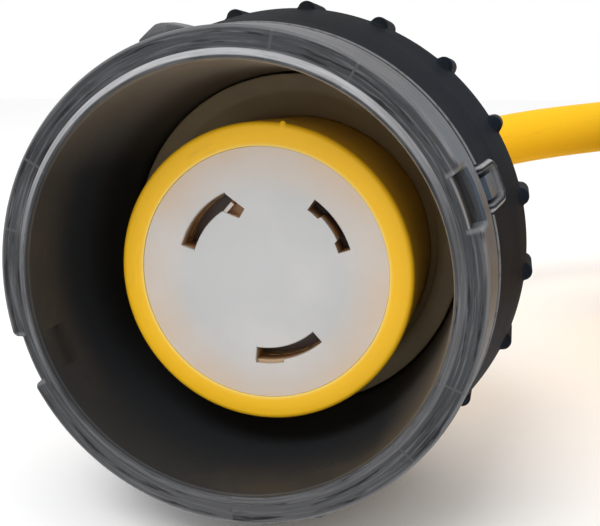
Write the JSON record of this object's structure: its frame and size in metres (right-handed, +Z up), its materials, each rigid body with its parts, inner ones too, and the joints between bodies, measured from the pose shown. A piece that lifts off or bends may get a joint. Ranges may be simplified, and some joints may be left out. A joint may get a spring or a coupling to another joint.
{
  "type": "shore power cord",
  "caption": "Heavy yellow power cord wound in a coil, with a locking connector in a turning sealing collar at one end and a straight-blade plug at the other.",
  "frame": {"origin": "on the floor, under the middle of the connector's length, measured without the cord and its coil and plug", "axes": "+Z up; the connector lies along Y with its mouth towards -Y and its cord leaving towards +Y; the coil lies on the +X side, with the plug on top of it"},
  "size_m": [0.3833, 0.2672, 0.1122],
  "materials": {
    "collar_grey": "satin",
    "grip_black": "matte",
    "rubber_black": "matte",
    "clip_steel": "brushed",
    "shell_yellow": "satin",
    "face_nylon": "translucent satin",
    "block_nylon": "matte",
    "brass": "bare",
    "screw_brass": "bare",
    "screw_silver": "plated",
    "screw_green": "dyed",
    "lead_black": "satin",
    "lead_white": "satin",
    "lead_green": "satin",
    "clamp_grey": "matte",
    "cord_yellow": "satin",
    "strap_black": "woven",
    "blade_nickel": "plated"
  },
  "bodies": {
    "connector": {"connector_shell": "shell_yellow", "contact_face": "face_nylon", "terminal_block": "block_nylon", "contact_ground": "brass", "contact_neutral": "brass", "contact_hot": "brass", "terminal_screw_ground": "screw_green", "terminal_screw_neutral": "screw_silver", "terminal_screw_hot": "screw_brass", "connector_lead_ground": "lead_green", "connector_lead_neutral": "lead_white", "connector_lead_hot": "lead_black", "cord_clamp_upper": "clamp_grey", "cord_clamp_lower": "clamp_grey", "clamp_screw_left": "clip_steel", "clamp_screw_right": "clip_steel", "strain_relief": "shell_yellow", "cord_lead": "cord_yellow", "cord_coil": "cord_yellow", "cord_tail": "cord_yellow", "cord_strap_left": "strap_black", "cord_strap_front": "strap_black", "plug_shell": "shell_yellow", "plug_blade_carrier": "rubber_black", "plug_blade_hot": "blade_nickel", "plug_blade_neutral": "blade_nickel", "plug_earth_pin": "blade_nickel", "plug_lead_ground": "lead_green", "plug_lead_neutral": "lead_white", "plug_lead_hot": "lead_black", "plug_strain_relief": "shell_yellow"},
    "collar_carrier": {"seal_carrier": "rubber_black", "body_seal": "rubber_black", "bore_gasket": "rubber_black", "carrier_clip": "clip_steel"},
    "locking_collar": {"collar_sleeve": "collar_grey", "grip_ring": "grip_black"}
  },
  "joints": [
    {"name": "collar_slide", "type": "slide", "parent": "connector", "child": "collar_carrier", "axis": [0, 1, 0], "range_m": [0, 0.02]},
    {"name": "collar_turn", "type": "hinge", "parent": "collar_carrier", "child": "locking_collar", "pos_m": [0, 0, 0.04389], "axis": [0, -1, 0], "continuous": true}
  ]
}
